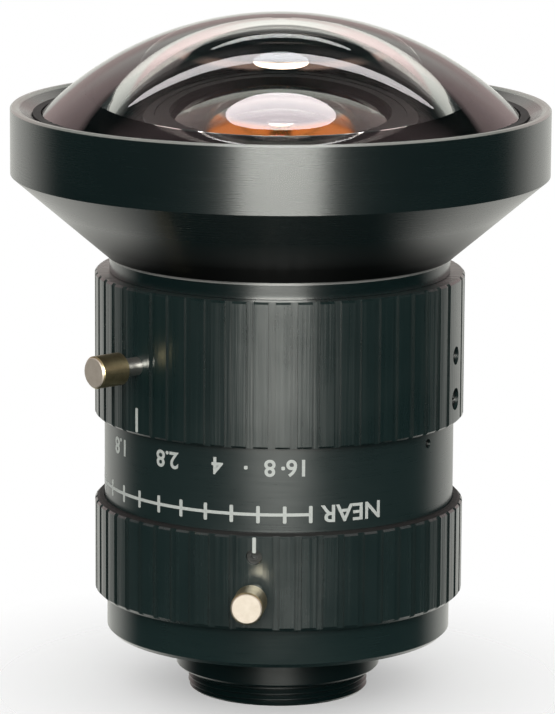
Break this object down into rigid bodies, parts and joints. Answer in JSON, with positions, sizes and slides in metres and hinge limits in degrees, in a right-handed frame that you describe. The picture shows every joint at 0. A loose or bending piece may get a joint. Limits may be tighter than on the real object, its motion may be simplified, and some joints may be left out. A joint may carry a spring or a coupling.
{
  "type": "machine vision lens",
  "caption": "Wide-angle machine vision lens with a domed front element in a flared hood, knurled focus and iris rings with lock screws, and a C thread mount.",
  "frame": {"origin": "on the optical axis, at the end of the mount thread, where the lens stands", "axes": "+Z along the optical axis, from the mount out through the front glass; -Y is the side with the focus lock screw"},
  "size_m": [0.0754, 0.0754, 0.0959],
  "materials": {
    "black_anodised": "satin black anodised aluminium",
    "mount_black": "satin black anodised aluminium",
    "inner_black": "matte black anodised aluminium",
    "front_glass": "polished and coated glass",
    "inner_glass": "polished and coated glass",
    "lock_screw_nickel": "nickel plated brass",
    "plug_brass": "plain brass",
    "nut_brass": "machined brass, greased",
    "black_steel": "black oxide steel",
    "bright_steel": "plain steel",
    "blade_steel": "blackened spring steel"
  },
  "bodies": {
    "mount_barrel": {"c_mount": "mount_black", "rear_barrel": "black_anodised", "mount_screws": "bright_steel", "focus_stop_pin": "bright_steel", "focus_retainer": "inner_black"},
    "focus_ring": {"focus_ring": "black_anodised", "focus_nut": "nut_brass", "focus_set_screws": "black_steel"},
    "front_unit": {"front_barrel": "inner_black", "guide_pins": "bright_steel", "scale_sleeve": "black_anodised", "sleeve_screws": "black_steel", "iris_base": "inner_black", "iris_cover": "inner_black", "iris_cover_screws": "bright_steel", "collar_ring": "black_anodised", "front_hood": "black_anodised", "front_element": "front_glass", "front_retaining_ring": "inner_black", "front_cell": "inner_black", "fourth_element": "inner_glass", "middle_spacer": "inner_black", "third_element": "inner_glass", "middle_retaining_ring": "inner_black", "second_element": "inner_glass", "front_cell_ring": "inner_black", "rear_cell": "inner_black", "seventh_element": "inner_glass", "rear_spacer": "inner_black", "sixth_element": "inner_glass", "fifth_element": "inner_glass", "doublet_ring": "inner_black", "rear_element": "inner_glass", "rear_retaining_ring": "inner_black", "rear_cell_ring": "inner_black"},
    "iris_ring": {"iris_ring": "black_anodised", "iris_drive_screws": "black_steel", "iris_set_screws": "black_steel", "iris_cam_ring": "nut_brass"},
    "focus_lock_plug": {"focus_lock_plug": "plug_brass"},
    "focus_lock_screw": {"focus_lock_screw": "lock_screw_nickel"},
    "iris_lock_plug": {"iris_lock_plug": "plug_brass"},
    "iris_lock_screw": {"iris_lock_screw": "lock_screw_nickel"},
    "iris_blade_1": {"iris_blade_1": "blade_steel"},
    "iris_blade_2": {"iris_blade_2": "blade_steel"},
    "iris_blade_3": {"iris_blade_3": "blade_steel"},
    "iris_blade_4": {"iris_blade_4": "blade_steel"},
    "iris_blade_5": {"iris_blade_5": "blade_steel"},
    "iris_blade_6": {"iris_blade_6": "blade_steel"}
  },
  "joints": [
    {"name": "focus_travel", "type": "slide", "parent": "mount_barrel", "child": "front_unit", "axis": [0, 0, 1], "range_m": [-0.001, 0.0002]},
    {"name": "focus_turn", "type": "hinge", "parent": "mount_barrel", "child": "focus_ring", "pos_m": [0, 0, 0.01925], "axis": [0, 0, 1], "range_deg": [-89.72, 18.3]},
    {"name": "iris_turn", "type": "hinge", "parent": "front_unit", "child": "iris_ring", "pos_m": [0, 0, 0.0494], "axis": [0, 0, 1], "range_deg": [-15.1, 54.7]},
    {"name": "focus_lock_travel", "type": "slide", "parent": "focus_ring", "child": "focus_lock_plug", "axis": [-0.1271, -0.9919, 0], "range_m": [0, 0.000675]},
    {"name": "focus_lock_turn", "type": "hinge", "parent": "focus_lock_plug", "child": "focus_lock_screw", "pos_m": [-0.0033, -0.02574, 0.01925], "axis": [-0.1271, -0.9919, 0], "range_deg": [0, 540.11]},
    {"name": "iris_lock_travel", "type": "slide", "parent": "iris_ring", "child": "iris_lock_plug", "axis": [-0.7536, -0.6574, 0], "range_m": [0, 0.000675]},
    {"name": "iris_lock_turn", "type": "hinge", "parent": "iris_lock_plug", "child": "iris_lock_screw", "pos_m": [-0.01955, -0.01706, 0.0494], "axis": [-0.7536, -0.6574, 0], "range_deg": [0, 540.11]},
    {"name": "iris_blade_1_swing", "type": "hinge", "parent": "front_unit", "child": "iris_blade_1", "pos_m": [0.0134, 0, 0.0415], "axis": [0, 0, 1], "range_deg": [-6.23, 22.56]},
    {"name": "iris_blade_2_swing", "type": "hinge", "parent": "front_unit", "child": "iris_blade_2", "pos_m": [0.0067, 0.0116, 0.0415], "axis": [0, 0, 1], "range_deg": [-6.23, 22.56]},
    {"name": "iris_blade_3_swing", "type": "hinge", "parent": "front_unit", "child": "iris_blade_3", "pos_m": [-0.0067, 0.0116, 0.0415], "axis": [0, 0, 1], "range_deg": [-6.23, 22.56]},
    {"name": "iris_blade_4_swing", "type": "hinge", "parent": "front_unit", "child": "iris_blade_4", "pos_m": [-0.0134, 0, 0.0415], "axis": [0, 0, 1], "range_deg": [-6.23, 22.56]},
    {"name": "iris_blade_5_swing", "type": "hinge", "parent": "front_unit", "child": "iris_blade_5", "pos_m": [-0.0067, -0.0116, 0.0415], "axis": [0, 0, 1], "range_deg": [-6.23, 22.56]},
    {"name": "iris_blade_6_swing", "type": "hinge", "parent": "front_unit", "child": "iris_blade_6", "pos_m": [0.0067, -0.0116, 0.0415], "axis": [0, 0, 1], "range_deg": [-6.23, 22.56]}
  ],
  "couplings": [
    {"joint": "focus_turn", "follows": "focus_travel", "rad_per_m": 1570.8},
    {"joint": "focus_lock_turn", "follows": "focus_lock_travel", "rad_per_m": 13963},
    {"joint": "iris_lock_turn", "follows": "iris_lock_travel", "rad_per_m": 13963},
    {"joint": "iris_blade_1_swing", "follows": "iris_turn", "ratio": 0.41232},
    {"joint": "iris_blade_2_swing", "follows": "iris_turn", "ratio": 0.41232},
    {"joint": "iris_blade_3_swing", "follows": "iris_turn", "ratio": 0.41232},
    {"joint": "iris_blade_4_swing", "follows": "iris_turn", "ratio": 0.41232},
    {"joint": "iris_blade_5_swing", "follows": "iris_turn", "ratio": 0.41232},
    {"joint": "iris_blade_6_swing", "follows": "iris_turn", "ratio": 0.41232}
  ]
}
